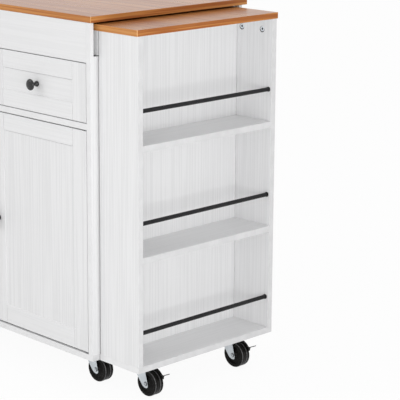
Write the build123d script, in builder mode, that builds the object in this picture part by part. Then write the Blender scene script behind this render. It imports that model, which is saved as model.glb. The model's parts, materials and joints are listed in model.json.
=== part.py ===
from build123d import *
from math import atan2, cos, radians, sin
import os

# Boards
board = 15.0
thin_board = 5.0
box_board = 12.0
edge_round = 1.0

# Height of the whole island
total_height = 912.0

# Cabinet
cabinet_depth = 500.0
bay_width = 364.0
worktop_side_lip = 3.0
worktop_front_lip = 0.5
worktop_rear_lip = 15.5
cabinet_shelf_setback = 40.0
cabinet_shelf_play = 1.0

# Tunnel that the extension leaf runs in
leaf_gap = 4.0
leaf_rail_height = 57.5
rail_gap = 2.0
leaf_side_gap = 3.5
slot_side_gap = 8.0
leaf_tail_gap = 37.0

# Drawer and door fronts
front_gap = 2.0
door_foot_gap = 5.0
drawer_front_height = 139.0
panel_recess = 2.5
stile_width = 48.0
drawer_rail = 43.0
door_top_rail = 42.0
door_bottom_rail = 48.0

# Drawer boxes and their runners
box_rear_gap = 50.0
box_lift = 8.0
box_headroom = 22.0
runner_space = 12.5
runner_setback = 4.0
runner_end_gap = 26.0
track_height = 35.0
track_lip = 10.0
track_wall = 1.2
slider_play = 0.4
slider_inner = 2.0
slider_outer = 9.0
slider_stem = 18.0
runner_lift = 6.0

# Door pivots and catches
pivot_inset = 5.0
pivot_setback = 4.5
pin_diameter = 4.0
pin_in_door = 20.0
pin_in_board = 9.0
pin_running_fit = 0.05
bush_wall = 1.25
bush_flange = 8.4
pin_end_gap = 1.0
seat_play = 0.3
catch_width = 40.0
catch_depth = 24.0
catch_height = 14.0
catch_inset = 20.0

# Shelf pegs
peg_diameter = 5.0
peg_web = 1.0
peg_reach = 9.0
peg_inset = 45.0

# Knobs
knob_projection = 27.0
knob_head_diameter = 28.0
knob_head_thickness = 8.0
knob_crown = 5.0
knob_rim = 2.0
knob_neck_diameter = 9.0
knob_foot_diameter = 14.0
knob_foot_thickness = 2.5

# Cart and extension leaf
cart_depth = 136.0
cart_gap = 2.0
cart_back_inset = 3.0
tier_height = 249.0
leaf_nose = 1.0
leaf_lip = 3.5
glide_length = 60.0
rod_diameter = 9.0
rod_height = 79.0
rod_setback = 10.0
socket_diameter = 12.0
socket_length = 3.0
cam_diameter = 15.0
cam_depth = 11.0
cam_recess = 5.0
cam_recess_depth = 3.0
cam_recess_sides = 4
cam_inset = 34.0
cam_drop = 28.0
fit_play = 0.1

# Casters
wheel_diameter = 63.5
wheel_width = 26.5
trail = 23.0
caster_turn = 2.0
cabinet_caster_inset_x = 86.0
cabinet_caster_inset_y = 80.0
cart_caster_inset_y = 79.0
plate_length = 58.0
plate_width = 48.0
plate_thickness = 2.5
race_diameter = 40.0
race_height = 5.0
race_gap = 0.3
fork_wall = 2.0
hub_play = 0.4
fork_tip_radius = 7.0
fork_tip_drop = 4.0
fork_back = 25.0
fork_front = 18.0
kingpin_diameter = 10.0
kingpin_cover = 1.0
axle_diameter = 8.0
axle_running_fit = 0.05
axle_head_diameter = 11.0
axle_head_height = 2.5
axle_head_sides = 6

# Wheel profile
hub_overhang = 0.6
hub_radius = 9.0
web_inset = 3.5
web_slope = 2.0
rim_radius = 23.0
tread_drop = 2.4
tread_shoulder = 2.0
groove_width = 5.6
groove_wall = 1.0
groove_depth = 1.0

# Brake of the cart casters
brake_pin_diameter = 4.0
brake_pin_back = 7.0
brake_boss_radius = 3.4
brake_head_gap = 0.3
shoe_clearance = 3.0
shoe_thickness = 2.5
shoe_head_gap = 4.2
shoe_width = 7.0
shoe_side_gap = 3.0
shoe_low_angle = 22.0
shoe_high_angle = 90.0
toe_angle = 31.0
toe_root_angle = 42.0
toe_reach = 5.0
lever_angle = 34.0
lever_run = 25.0
lever_rise = 12.0
lever_thickness = 1.6
lever_width = 6.0

# Levels above the floor
wheel_headroom = shoe_clearance + shoe_thickness + shoe_head_gap
caster_height = wheel_diameter + wheel_headroom + fork_wall + race_gap + race_height + plate_thickness
base_bottom = caster_height
base_top = base_bottom + board
worktop_bottom = total_height - board
leaf_top = worktop_bottom - leaf_gap
leaf_bottom = leaf_top - board
rail_bottom = leaf_bottom - leaf_rail_height
tunnel_top = rail_bottom - rail_gap
tunnel_bottom = tunnel_top - board
drawer_top = tunnel_bottom - front_gap
drawer_bottom = drawer_top - drawer_front_height
divider_top = drawer_bottom - front_gap
divider_bottom = divider_top - board
door_top = divider_bottom - front_gap
door_bottom = base_top + door_foot_gap
cabinet_shelf_bottom = (base_top + divider_bottom) / 2
lower_tier_top = base_top + tier_height
upper_tier_bottom = lower_tier_top + board
upper_tier_top = upper_tier_bottom + tier_height

# Caster geometry about its own pivot
wheel_radius = wheel_diameter / 2
plate_bottom = caster_height - plate_thickness
race_bottom = plate_bottom - race_height
fork_top = race_bottom - race_gap
fork_plate_bottom = fork_top - fork_wall
fork_inner = wheel_width / 2 + hub_overhang + hub_play
fork_outer = fork_inner + fork_wall
shoe_inner = wheel_radius + shoe_clearance
shoe_outer = shoe_inner + shoe_thickness
shoe_far = fork_inner - shoe_side_gap
shoe_middle = shoe_far - shoe_width / 2
brake_pin_x = trail - brake_pin_back
brake_pin_z = fork_plate_bottom - brake_head_gap - brake_boss_radius
lever_root_radius = (shoe_inner + shoe_outer) / 2
lever_root_x = trail + lever_root_radius * cos(radians(lever_angle))
lever_root_z = wheel_radius + lever_root_radius * sin(radians(lever_angle))
lever_tip_x = lever_root_x + lever_run
lever_tip_z = lever_root_z + lever_rise

# Directions of a caster: towards its wheel, along its axle, and along its axle to the front
turn = radians(caster_turn)
trail_way = (cos(turn), sin(turn), 0)
axle_way = (-sin(turn), cos(turn), 0)
front_way = (sin(turn), -cos(turn), 0)
lever_end = lever_tip_x + lever_thickness / 2 * sin(atan2(lever_rise, lever_run))
lever_reach = lever_end * cos(turn) - (shoe_middle - lever_width / 2) * sin(turn)

# Places along the island, from its left end to the lever tips at its right end
cabinet_width = 2 * bay_width + 3 * board
right_overhang = max(leaf_nose, lever_reach - cart_depth / 2)
overall_length = worktop_side_lip + cabinet_width + cart_gap + cart_depth + right_overhang
cabinet_left = worktop_side_lip - overall_length / 2
cabinet_right = cabinet_left + cabinet_width
inner_left = cabinet_left + board
inner_right = cabinet_right - board
partition_left = inner_left + bay_width
partition_right = partition_left + board
cart_left = cabinet_right + cart_gap
cart_right = cart_left + cart_depth
leaf_right = cart_right + leaf_nose
leaf_left = inner_left + leaf_tail_gap
cart_back_face = cart_left + cart_back_inset + board

# Places across the island, from the knobs in front to the worktop's rear edge
overall_depth = knob_projection + cabinet_depth + worktop_rear_lip
cabinet_front = knob_projection - overall_depth / 2
cabinet_rear = cabinet_front + cabinet_depth
front_back_face = cabinet_front + board
carcass_rear = cabinet_rear - thin_board
cart_setback = board + leaf_side_gap + leaf_lip
cart_front = cabinet_front + cart_setback
cart_rear = cabinet_rear - cart_setback
slot_front = cart_front - leaf_lip - slot_side_gap
slot_rear = cart_rear + leaf_lip + slot_side_gap
tier_front = cart_front + board
tier_rear = cart_rear - board

# Sizes that follow from their seats
box_length = carcass_rear - front_back_face - box_rear_gap
runner_length = box_length - runner_setback - runner_end_gap
slider_height = track_height - 2 * track_wall - 2 * slider_play
bush_depth = pin_in_board + pin_end_gap
peg_depth = (board - peg_web) / 2

os.makedirs("parts", exist_ok=True)


def save(label, *pieces):
    """Write one piece, or a group of separate pieces, under its node's name."""
    shape = pieces[0] if len(pieces) == 1 else Compound(children=list(pieces))
    shape.label = label
    export_step(shape, f"parts/{label}.step")


def slab(x_span, y_span, z_span):
    """Rectangular board between three pairs of coordinates."""
    with BuildPart() as piece:
        with BuildSketch(Plane.XY.offset(z_span[0])):
            with Locations((sum(x_span) / 2, sum(y_span) / 2)):
                Rectangle(x_span[1] - x_span[0], y_span[1] - y_span[0])
        extrude(amount=z_span[1] - z_span[0])
    return piece.part


def bored(panel, places, diameter, depth):
    """Copy of a board with blind holes; each place is a plane whose normal points into the board."""
    with BuildPart() as piece:
        add(panel)
        for place in places:
            with BuildSketch(place):
                Circle(diameter / 2)
            extrude(amount=depth, mode=Mode.SUBTRACT)
    return piece.part


def rod(place, diameter, length):
    """Round bar from the plane's origin along its normal."""
    with BuildPart() as piece:
        with BuildSketch(place):
            Circle(diameter / 2)
        extrude(amount=length)
    return piece.part


def ring(place, outer, inner, length):
    """Round collar from the plane's origin along its normal."""
    with BuildPart() as piece:
        with BuildSketch(place):
            Circle(outer / 2)
            Circle(inner / 2, mode=Mode.SUBTRACT)
        extrude(amount=length)
    return piece.part


def toward(x, y, z, direction):
    """Plane through a point with its normal along the given direction."""
    return Plane(origin=(x, y, z), z_dir=direction)


def shaker_front(x_span, z_span, top_rail, bottom_rail):
    """Drawer or door front with rounded front edges and a shallow recessed field."""
    with BuildPart() as front:
        with BuildSketch(Plane.XY.offset(z_span[0])):
            with Locations((sum(x_span) / 2, cabinet_front + board / 2)):
                Rectangle(x_span[1] - x_span[0], board)
        extrude(amount=z_span[1] - z_span[0])
        fillet(front.faces().sort_by(Axis.Y)[0].edges(), edge_round)
        field_low = z_span[0] + bottom_rail
        field_high = z_span[1] - top_rail
        with BuildSketch(Plane.XZ.offset(-cabinet_front)):
            with Locations((sum(x_span) / 2, (field_low + field_high) / 2)):
                Rectangle(x_span[1] - x_span[0] - 2 * stile_width, field_high - field_low)
        extrude(amount=-panel_recess, mode=Mode.SUBTRACT)
    return front.part


def knob(x, y, z):
    """Knob with a foot, a neck and a crowned disc, forward of the face at y."""
    face = toward(x, y, z, (0, -1, 0))
    head_start = knob_projection - knob_head_thickness
    with BuildPart() as piece:
        for start, end, diameter in (
            (0, knob_foot_thickness, knob_foot_diameter),
            (knob_foot_thickness, head_start, knob_neck_diameter),
            (head_start, knob_projection, knob_head_diameter),
        ):
            with BuildSketch(face.offset(start)):
                Circle(diameter / 2)
            extrude(amount=end - start)
        rims = piece.edges().filter_by(GeomType.CIRCLE).sort_by(SortBy.RADIUS)[-2:]
        front_rim, back_rim = rims.sort_by(Axis.Y)
        fillet(front_rim, knob_crown)
        fillet(back_rim, knob_rim)
    return piece.part


def drawer_slides(x_wall, inward):
    """Fixed track on a wall at x_wall and the slider inside it; inward is +1 or -1 along X."""
    y_start = front_back_face + runner_setback
    plane = Plane(origin=(x_wall, y_start, runner_z), x_dir=(inward, 0, 0), z_dir=(0, 1, 0))
    with BuildPart() as track:
        with BuildSketch(plane):
            with Locations((track_lip / 2, 0)):
                Rectangle(track_lip, track_height)
            with Locations(((track_lip + track_wall) / 2, 0)):
                Rectangle(track_lip - track_wall, track_height - 2 * track_wall, mode=Mode.SUBTRACT)
        extrude(amount=runner_length)
    with BuildPart() as slider:
        with BuildSketch(plane):
            with Locations(((slider_inner + slider_outer) / 2, 0)):
                Rectangle(slider_outer - slider_inner, slider_height)
            with Locations(((slider_inner + runner_space) / 2, 0)):
                Rectangle(runner_space - slider_inner, slider_stem)
        extrude(amount=runner_length)
    return track.part, slider.part


def caster_point(x, y, along, across, height):
    """Point of the caster at (x, y): so far towards its wheel, along its axle and above the floor."""
    return (
        x + along * trail_way[0] + across * axle_way[0],
        y + along * trail_way[1] + across * axle_way[1],
        height,
    )


def caster_side(x, y, across):
    """Upright plane along a caster, with its normal to the front."""
    return Plane(origin=caster_point(x, y, 0, across, 0), x_dir=trail_way, z_dir=front_way)


def caster_plate(x, y):
    """Mounting plate with its swivel race, bored for the kingpin."""
    with BuildPart() as plate:
        with BuildSketch(Plane.XY.offset(plate_bottom)):
            with Locations((x, y)):
                RectangleRounded(plate_length, plate_width, plate_thickness)
        extrude(amount=plate_thickness)
        with BuildSketch(Plane.XY.offset(race_bottom)):
            with Locations((x, y)):
                Circle(race_diameter / 2)
        extrude(amount=race_height)
        with BuildSketch(Plane.XY.offset(race_bottom)):
            with Locations((x, y)):
                Circle(kingpin_diameter / 2 + axle_running_fit)
        extrude(amount=caster_height - kingpin_cover - race_bottom, mode=Mode.SUBTRACT)
    return plate.part


def caster_fork(x, y, braked):
    """Swivel fork with its kingpin, and the axle bolt and brake pin that it carries."""
    axle_place = toward(*caster_point(x, y, trail, -fork_outer, wheel_radius), axle_way)
    brake_place = toward(*caster_point(x, y, brake_pin_x, -fork_outer, brake_pin_z), axle_way)
    head_place = Plane(origin=(x, y, fork_plate_bottom), x_dir=trail_way, z_dir=(0, 0, 1))
    with BuildPart() as fork:
        with BuildSketch(head_place):
            with Locations(((fork_front - fork_back) / 2, 0)):
                Rectangle(fork_back + fork_front, 2 * fork_outer)
        extrude(amount=fork_wall)
        for leg_start in (-fork_outer, fork_inner):
            with BuildSketch(caster_side(x, y, leg_start)):
                with BuildLine():
                    Line((-fork_back, fork_top), (fork_front, fork_top))
                    CenterArc((trail, wheel_radius - fork_tip_drop), fork_tip_radius, 0, 360)
                make_hull()
            extrude(amount=-fork_wall)
        with BuildSketch(head_place):
            Circle(kingpin_diameter / 2)
        extrude(amount=caster_height - 2 * kingpin_cover - fork_plate_bottom)
        with BuildSketch(axle_place):
            Circle(axle_diameter / 2 + axle_running_fit)
        extrude(amount=2 * fork_outer, mode=Mode.SUBTRACT)
        if braked:
            with BuildSketch(brake_place):
                Circle(brake_pin_diameter / 2 + axle_running_fit)
            extrude(amount=2 * fork_outer, mode=Mode.SUBTRACT)
    with BuildPart() as axle:
        with BuildSketch(axle_place):
            Circle(axle_diameter / 2)
        extrude(amount=2 * fork_outer)
        for head_start, way in ((axle_place, -1), (axle_place.offset(2 * fork_outer), 1)):
            with BuildSketch(head_start):
                RegularPolygon(axle_head_diameter / 2, axle_head_sides)
            extrude(amount=way * axle_head_height)
    pieces = [fork.part, axle.part]
    if braked:
        pieces.append(rod(brake_place, brake_pin_diameter, 2 * fork_outer))
    return pieces


def caster_wheel(x, y):
    """Moulded wheel with a hub, a dished web and a tread with a groove round its middle."""
    half = wheel_width / 2
    hub_half = half + hub_overhang
    web_half = half - web_inset
    bore = axle_diameter / 2 + axle_running_fit
    right_side = [
        (hub_half, bore),
        (hub_half, hub_radius),
        (web_half, hub_radius + web_slope),
        (web_half, rim_radius - web_slope),
        (half, rim_radius),
        (half, wheel_radius - tread_drop),
        (half - tread_shoulder, wheel_radius),
        (groove_width / 2 + groove_wall, wheel_radius),
        (groove_width / 2, wheel_radius - groove_depth),
    ]
    left_side = [(-across, out) for across, out in reversed(right_side)]
    centre = caster_point(x, y, trail, 0, wheel_radius)
    with BuildPart() as wheel:
        with BuildSketch(Plane(origin=centre, x_dir=axle_way, z_dir=trail_way)):
            with BuildLine():
                Polyline(*right_side, *left_side, close=True)
            make_face()
        revolve(axis=Axis(centre, axle_way))
    return wheel.part


def caster_brake(x, y):
    """Brake shoe that hangs on its pin over the wheel, beside the rear leg, and the foot lever on its toe."""
    axle_centre = (trail, wheel_radius)
    pin_centre = (brake_pin_x, brake_pin_z)
    shoe_sweep = shoe_high_angle - shoe_low_angle
    toe = [
        (trail + out * cos(radians(angle)), wheel_radius + out * sin(radians(angle)))
        for out, angle in (
            (lever_root_radius, shoe_low_angle),
            (shoe_outer + toe_reach, toe_angle),
            (lever_root_radius, toe_root_angle),
        )
    ]
    with BuildPart() as shoe:
        with BuildSketch(caster_side(x, y, shoe_far)):
            with BuildLine():
                outer_arc = CenterArc(axle_centre, shoe_outer, shoe_low_angle, shoe_sweep)
                inner_arc = CenterArc(axle_centre, shoe_inner, shoe_low_angle, shoe_sweep)
                Line(outer_arc @ 0, inner_arc @ 0)
                Line(outer_arc @ 1, inner_arc @ 1)
            make_face()
            with BuildLine():
                Polyline(*toe, close=True)
            make_face()
            with Locations(pin_centre):
                Circle(brake_boss_radius)
            with Locations(((brake_pin_x + trail) / 2, brake_pin_z)):
                Rectangle(brake_pin_back, 2 * brake_boss_radius)
            with Locations(pin_centre):
                Circle(brake_pin_diameter / 2 + axle_running_fit, mode=Mode.SUBTRACT)
        extrude(amount=shoe_width)
    with BuildPart() as lever:
        with BuildSketch(caster_side(x, y, shoe_middle + lever_width / 2)):
            with BuildLine():
                Line((lever_root_x, lever_root_z), (lever_tip_x, lever_tip_z))
            trace(line_width=lever_thickness)
        extrude(amount=lever_width)
        add(shoe.part, mode=Mode.SUBTRACT)
    return [shoe.part, lever.part]


# Left and right bays, as pairs of their inner wall positions
bays = {
    "left": (inner_left, partition_left),
    "right": (partition_right, inner_right),
}
full_width = (cabinet_left, cabinet_right)
inner_width = (inner_left, inner_right)
full_depth = (cabinet_front, cabinet_rear)
carcass_depth = (cabinet_front, carcass_rear)
tunnel_height = (tunnel_bottom, worktop_bottom)
bay_height = (base_top, tunnel_bottom)
runner_z = drawer_bottom + box_lift + thin_board + runner_lift + track_height / 2

# Door pivots: each door turns on its outer edge, beside a side panel
pivot_x = {
    "left": inner_left + front_gap + pivot_inset,
    "right": inner_right - front_gap - pivot_inset,
}
pivot_y = cabinet_front + pivot_setback
bush_bore = pin_diameter + 2 * pin_running_fit
bush_outer = bush_bore + 2 * bush_wall

# Shelf pegs: front and rear, on both walls of both bays
cabinet_shelf_depth = (front_back_face + cabinet_shelf_setback, carcass_rear - cabinet_shelf_play)
peg_rows = (cabinet_shelf_depth[0] + peg_inset, cabinet_shelf_depth[1] - peg_inset)
peg_z = cabinet_shelf_bottom - peg_diameter / 2
peg_hole = peg_diameter + fit_play


def peg_holes(x, direction):
    """Planes of the two peg holes in one face of a wall."""
    return [toward(x, y, peg_z, direction) for y in peg_rows]


# Worktop and the carcass under it
worktop = slab(
    (cabinet_left - worktop_side_lip, cabinet_right + worktop_side_lip),
    (cabinet_front - worktop_front_lip, cabinet_rear + worktop_rear_lip),
    (worktop_bottom, total_height),
)
save("worktop", worktop)

side_height = (base_top, worktop_bottom)
side_left = slab((cabinet_left, inner_left), full_depth, side_height)
save("side_panel_left", bored(side_left, peg_holes(inner_left, (-1, 0, 0)), peg_hole, peg_depth))

with BuildPart() as side_right:
    add(slab((inner_right, cabinet_right), full_depth, side_height))
    with BuildSketch(Plane.YZ.offset(inner_right)):
        with Locations(((slot_front + slot_rear) / 2, (tunnel_top + worktop_bottom) / 2)):
            Rectangle(slot_rear - slot_front, worktop_bottom - tunnel_top)
    extrude(amount=board, mode=Mode.SUBTRACT)
save("side_panel_right", bored(side_right.part, peg_holes(inner_right, (1, 0, 0)), peg_hole, peg_depth))

base_bush_places = [toward(x, pivot_y, base_top, (0, 0, -1)) for x in pivot_x.values()]
base = slab(full_width, full_depth, (base_bottom, base_top))
save("base_panel", bored(base, base_bush_places, bush_outer, bush_depth))

save("back_panel", slab(inner_width, (carcass_rear, cabinet_rear), bay_height))

partition = slab((partition_left, partition_right), carcass_depth, bay_height)
partition_holes = peg_holes(partition_left, (1, 0, 0)) + peg_holes(partition_right, (-1, 0, 0))
save("centre_partition", bored(partition, partition_holes, peg_hole, peg_depth))

tunnel_depth = (front_back_face, cabinet_rear - board)
save("tunnel_floor", slab(inner_width, tunnel_depth, (tunnel_bottom, tunnel_top)))
save("front_apron", slab(inner_width, (cabinet_front, front_back_face), tunnel_height))
save("rear_apron", slab(inner_width, (cabinet_rear - board, cabinet_rear), tunnel_height))

dividers = []
for side, walls in bays.items():
    divider = slab(walls, carcass_depth, (divider_bottom, divider_top))
    bush_place = toward(pivot_x[side], pivot_y, divider_bottom, (0, 0, 1))
    dividers.append(bored(divider, [bush_place], bush_outer, bush_depth))
save("drawer_dividers", *dividers)

# Inner shelves on their pegs
cabinet_shelves = []
pegs = []
for walls in bays.values():
    cabinet_shelves.append(
        slab(
            (walls[0] + cabinet_shelf_play, walls[1] - cabinet_shelf_play),
            cabinet_shelf_depth,
            (cabinet_shelf_bottom, cabinet_shelf_bottom + board),
        )
    )
    for y in peg_rows:
        for x, inward in ((walls[0] - peg_depth, 1), (walls[1] + peg_depth, -1)):
            peg_end = toward(x, y, peg_z, (inward, 0, 0))
            pegs.append(rod(peg_end, peg_diameter, peg_depth + peg_reach))
save("cabinet_shelves", *cabinet_shelves)
save("shelf_pegs", *pegs)

# Drawers
tracks = []
for side, walls in bays.items():
    middle = sum(walls) / 2
    front_span = (walls[0] + front_gap, walls[1] - front_gap)
    box_span = (walls[0] + runner_space, walls[1] - runner_space)
    box_rear = front_back_face + box_length
    box_bottom = drawer_bottom + box_lift
    wall_height = (box_bottom + thin_board, drawer_top - box_headroom)
    save(
        f"drawer_{side}_front",
        shaker_front(front_span, (drawer_bottom, drawer_top), drawer_rail, drawer_rail),
    )
    save(
        f"drawer_{side}_box",
        slab((box_span[0], box_span[0] + box_board), (front_back_face, box_rear), wall_height),
        slab((box_span[1] - box_board, box_span[1]), (front_back_face, box_rear), wall_height),
        slab(
            (box_span[0] + box_board, box_span[1] - box_board),
            (box_rear - box_board, box_rear),
            wall_height,
        ),
    )
    save(
        f"drawer_{side}_bottom",
        slab(box_span, (front_back_face, box_rear), (box_bottom, box_bottom + thin_board)),
    )
    left_track, left_slider = drawer_slides(walls[0], 1)
    right_track, right_slider = drawer_slides(walls[1], -1)
    tracks += [left_track, right_track]
    save(f"drawer_{side}_sliders", left_slider, right_slider)
    field_face = cabinet_front + panel_recess
    save(f"drawer_{side}_knob", knob(middle, field_face, (drawer_bottom + drawer_top) / 2))
save("drawer_tracks", *tracks)

# Doors with their pivot pins and knobs
knob_x = {
    "left": partition_left - front_gap - stile_width / 2,
    "right": partition_right + front_gap + stile_width / 2,
}
catch_x = {
    "left": partition_left - catch_inset - catch_width,
    "right": partition_right + catch_inset,
}
pin_length = pin_in_door + pin_in_board
bushes = []
catches = []
for side, walls in bays.items():
    panel = shaker_front(
        (walls[0] + front_gap, walls[1] - front_gap),
        (door_bottom, door_top),
        door_top_rail,
        door_bottom_rail,
    )
    pin_sockets = [
        toward(pivot_x[side], pivot_y, door_top, (0, 0, -1)),
        toward(pivot_x[side], pivot_y, door_bottom, (0, 0, 1)),
    ]
    save(f"door_{side}_panel", bored(panel, pin_sockets, pin_diameter + fit_play, pin_in_door))
    save(
        f"door_{side}_pins",
        rod(pin_sockets[0].offset(pin_in_door), pin_diameter, -pin_length - front_gap),
        rod(pin_sockets[1].offset(pin_in_door), pin_diameter, -pin_length - door_foot_gap),
    )
    save(f"door_{side}_knob", knob(knob_x[side], cabinet_front, (door_bottom + door_top) / 2))
    for face, way, gap in ((divider_bottom, 1, front_gap), (base_top, -1, door_foot_gap)):
        place = toward(pivot_x[side], pivot_y, face, (0, 0, way))
        with BuildPart() as bush:
            add(ring(place, bush_outer, bush_bore, bush_depth))
            add(ring(place, bush_flange, bush_bore, seat_play - gap))
        bushes.append(bush.part)
    catches.append(
        slab(
            (catch_x[side], catch_x[side] + catch_width),
            (front_back_face + seat_play, front_back_face + seat_play + catch_depth),
            (divider_bottom - catch_height, divider_bottom),
        )
    )
save("door_bushes", *bushes)
save("door_catches", *catches)

# Extension leaf with the rails that run in the tunnel
save(
    "extension_leaf",
    slab((leaf_left, leaf_right), (cart_front - leaf_lip, cart_rear + leaf_lip), (leaf_bottom, leaf_top)),
)
rail_length = (leaf_left, cart_left)
rail_height = (rail_bottom, leaf_bottom)
save(
    "leaf_rails",
    slab(rail_length, (cart_front, tier_front), rail_height),
    slab(rail_length, (tier_rear, cart_rear), rail_height),
)
save("leaf_cross_rail", slab((leaf_left, leaf_left + board), (tier_front, tier_rear), rail_height))
glide_run = (leaf_left, leaf_left + glide_length)
glide_height = (tunnel_top + seat_play, rail_bottom)
save(
    "leaf_glides",
    slab(glide_run, (cart_front, tier_front), glide_height),
    slab(glide_run, (tier_rear, cart_rear), glide_height),
)

# Cart
cart_span = (cart_left, cart_right)
cart_side_height = (base_top, leaf_bottom)
cam_rows = (cart_left + cam_inset, cart_right - cam_inset)
cam_z = leaf_bottom - cam_drop
cam_locks = []
for label, y_span, face, inward in (
    ("cart_side_front", (cart_front, tier_front), tier_front, -1),
    ("cart_side_rear", (tier_rear, cart_rear), tier_rear, 1),
):
    cam_places = [toward(x, face, cam_z, (0, inward, 0)) for x in cam_rows]
    side_board = slab(cart_span, y_span, cart_side_height)
    save(label, bored(side_board, cam_places, cam_diameter + fit_play, cam_depth))
    for place in cam_places:
        with BuildPart() as cam:
            add(rod(place, cam_diameter, cam_depth))
            with BuildSketch(place):
                RegularPolygon(cam_recess / 2, cam_recess_sides)
            extrude(amount=cam_recess_depth, mode=Mode.SUBTRACT)
        cam_locks.append(cam.part)
save("cart_cam_locks", *cam_locks)

tier_depth = (tier_front, tier_rear)
save("cart_back", slab((cart_back_face - board, cart_back_face), tier_depth, cart_side_height))
save("cart_base", slab(cart_span, (cart_front, cart_rear), (base_bottom, base_top)))
shelf_span = (cart_back_face, cart_right)
save("cart_shelf_lower", slab(shelf_span, tier_depth, (lower_tier_top, upper_tier_bottom)))
save("cart_shelf_upper", slab(shelf_span, tier_depth, (upper_tier_top, upper_tier_top + board)))

# Guard rods and the sockets that hold their ends
rod_x = cart_right - rod_setback
rod_length = tier_rear - tier_front
guard_rods = []
sockets = []
for shelf_level in (base_top, upper_tier_bottom, upper_tier_top + board):
    rod_z = shelf_level + rod_height
    front_end = toward(rod_x, tier_front, rod_z, (0, 1, 0))
    rear_end = toward(rod_x, tier_rear, rod_z, (0, -1, 0))
    guard_rods.append(rod(front_end, rod_diameter, rod_length))
    for end in (front_end, rear_end):
        sockets.append(ring(end, socket_diameter, rod_diameter + fit_play, socket_length))
save("guard_rods", *guard_rods)
save("rod_sockets", *sockets)

# Casters: four under the cabinet, two with brakes under the cart
cabinet_caster_x = (cabinet_left + cabinet_caster_inset_x, cabinet_right - cabinet_caster_inset_x)
cabinet_caster_y = (cabinet_front + cabinet_caster_inset_y, cabinet_rear - cabinet_caster_inset_y)
cart_caster_x = cart_left + cart_depth / 2
cart_caster_y = (cart_front + cart_caster_inset_y, cart_rear - cart_caster_inset_y)
casters = {
    "cabinet_front_left": (cabinet_caster_x[0], cabinet_caster_y[0]),
    "cabinet_front_right": (cabinet_caster_x[1], cabinet_caster_y[0]),
    "cabinet_rear_left": (cabinet_caster_x[0], cabinet_caster_y[1]),
    "cabinet_rear_right": (cabinet_caster_x[1], cabinet_caster_y[1]),
    "cart_front": (cart_caster_x, cart_caster_y[0]),
    "cart_rear": (cart_caster_x, cart_caster_y[1]),
}
plates = {"cabinet": [], "cart": []}
for name, (x, y) in casters.items():
    carrier = name.split("_")[0]
    plates[carrier].append(caster_plate(x, y))
    save(f"fork_{name}", *caster_fork(x, y, carrier == "cart"))
    save(f"wheel_{name}", caster_wheel(x, y))
    if carrier == "cart":
        save(f"brake_{name}", *caster_brake(x, y))
for carrier, pieces in plates.items():
    save(f"{carrier}_caster_plates", *pieces)
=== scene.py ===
import json
import math

import bmesh
import bpy
from bpy.props import FloatProperty, FloatVectorProperty, IntProperty, PointerProperty
from bpy.types import Operator, Panel, PropertyGroup
from mathutils import Matrix, Vector


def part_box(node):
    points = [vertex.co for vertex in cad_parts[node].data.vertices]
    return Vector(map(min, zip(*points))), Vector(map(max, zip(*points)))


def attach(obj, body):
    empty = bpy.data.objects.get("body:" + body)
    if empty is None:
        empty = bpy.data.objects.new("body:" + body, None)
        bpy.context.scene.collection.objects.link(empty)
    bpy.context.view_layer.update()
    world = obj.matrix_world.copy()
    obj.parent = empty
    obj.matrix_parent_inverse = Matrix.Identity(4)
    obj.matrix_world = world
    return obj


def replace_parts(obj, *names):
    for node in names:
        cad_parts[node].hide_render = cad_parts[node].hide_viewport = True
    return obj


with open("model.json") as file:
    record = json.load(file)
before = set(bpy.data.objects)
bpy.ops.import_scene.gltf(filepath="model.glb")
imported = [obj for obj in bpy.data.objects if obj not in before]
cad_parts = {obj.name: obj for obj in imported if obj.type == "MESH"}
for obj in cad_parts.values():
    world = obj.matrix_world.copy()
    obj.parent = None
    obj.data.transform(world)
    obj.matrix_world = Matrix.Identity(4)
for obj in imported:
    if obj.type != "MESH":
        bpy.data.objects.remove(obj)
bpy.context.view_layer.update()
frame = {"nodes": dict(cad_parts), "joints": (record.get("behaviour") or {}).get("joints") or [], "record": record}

bl_info = {
    "name": "Kitchen Island with Pull-out Cart",
    "version": (1, 0, 0),
    "blender": (4, 5, 0),
    "location": "3D View > Sidebar > Island",
    "description": "Dresses the boards, oak tops, knobs, rods and casters of an island and lights them",
    "category": "Object",
}

# What the frame says of the pieces
RECORD = frame["record"]
BODY_OF = {node: body for body, nodes in RECORD["behaviour"]["bodies"].items() for node in nodes}
JOINTS = {joint["name"]: joint for joint in frame["joints"]}
CASTERS = [name[len("swivel_"):] for name in JOINTS if name.startswith("swivel_")]
SIDES = ("left", "right")

UP = Vector((0, 0, 1))
# Share of a normal along an axis: over the first a face is square to it, under the second it runs along it
SQUARE = 0.9
ALONG = 0.5
# Corners nearer than this are joined, in metres: in a CAD mesh and in a turned piece
CAD_WELD = 1e-6
TURNED_WELD = 2e-6
# Angles between faces: under the first they are one flat face, over the others an edge counts as sharp
FLAT_ANGLE = math.radians(0.5)
TURNED_SHARP = math.radians(35)
PRISM_SHARP = math.radians(50)
BOARD_SHARP = math.radians(60)
# Faces along a rounded corner of a flat piece
CORNER_STEPS = 8
# Reach of a board's end face, and the longest edge of a hole bored in a board, in metres
END_REACH = 0.00001
HOLE_DEPTH = 0.0125


# Sizes and colours that a user would change
def length(name, default, description):
    """A length in metres."""
    return FloatProperty(
        name=name, description=description, default=default, min=0.0, unit="LENGTH", precision=5,
    )


def colour(name, default, description):
    """A linear colour."""
    return FloatVectorProperty(
        name=name, description=description, default=default, size=3, min=0.0, max=1.0, subtype="COLOR",
    )


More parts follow.
